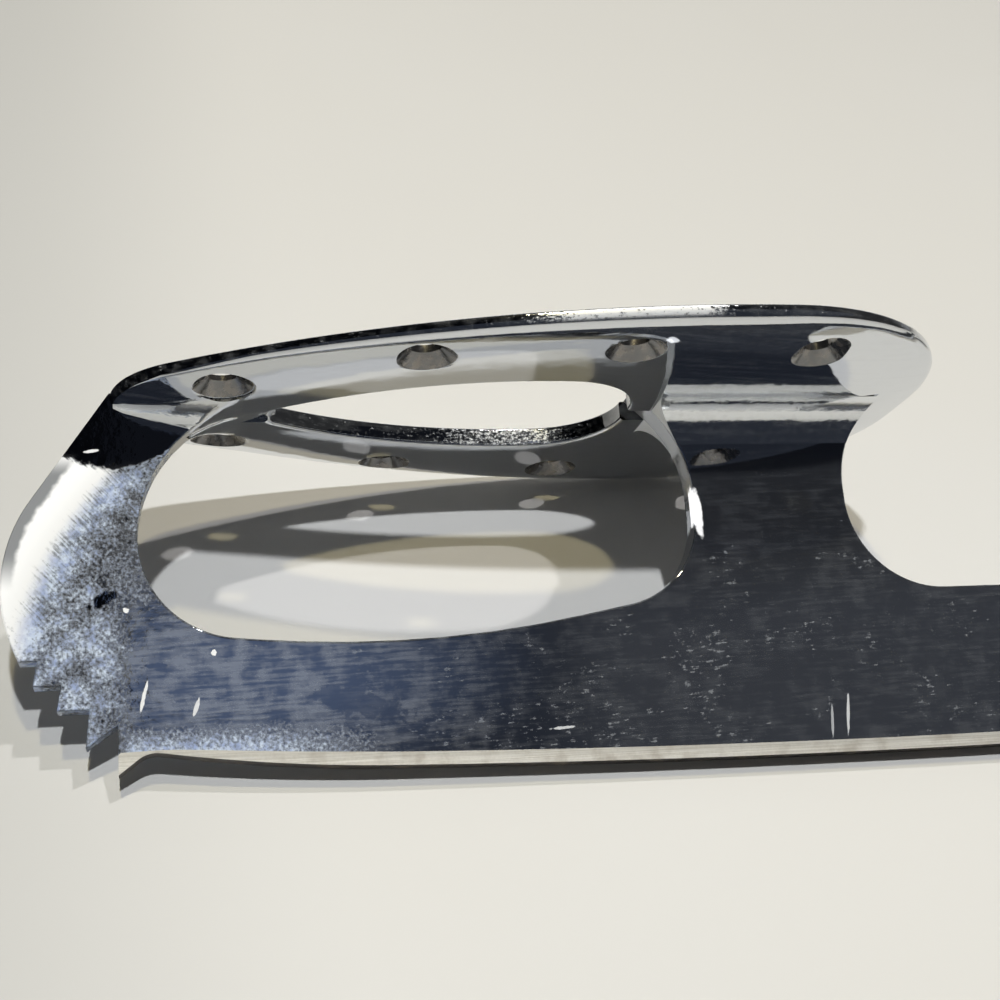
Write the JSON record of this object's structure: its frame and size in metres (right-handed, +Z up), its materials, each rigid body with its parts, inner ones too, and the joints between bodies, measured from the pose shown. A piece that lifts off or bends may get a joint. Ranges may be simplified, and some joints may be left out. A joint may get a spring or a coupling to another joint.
{
  "type": "figure skate blade",
  "caption": "Figure skate blade: a rockered, hollow-ground steel runner with toe picks, its posts brazed to a pear-shaped sole plate and a heel plate with countersunk holes to screw to a boot.",
  "frame": {"origin": "middle of the sole plate's second pair of screw holes, on the face that meets the boot", "axes": "+X back along the blade towards the heel, +Y to the right of a skater who faces along -X, +Z up towards the boot"},
  "size_m": [0.3324, 0.0708, 0.067],
  "materials": {
    "blank_chrome": "chrome plated steel, water marked and scratched in use, with a bare ground strip along the running edge",
    "plate_chrome": "bright chrome plate on pressed steel",
    "braze_chrome": "chrome plate over a smooth braze fillet"
  },
  "bodies": {
    "root": {"blade_blank": "blank_chrome", "sole_plate": "plate_chrome", "heel_plate": "plate_chrome", "toe_braze_left": "braze_chrome", "toe_braze_right": "braze_chrome", "mid_braze_left": "braze_chrome", "mid_braze_right": "braze_chrome", "heel_braze_left": "braze_chrome", "heel_braze_right": "braze_chrome"}
  },
  "joints": []
}
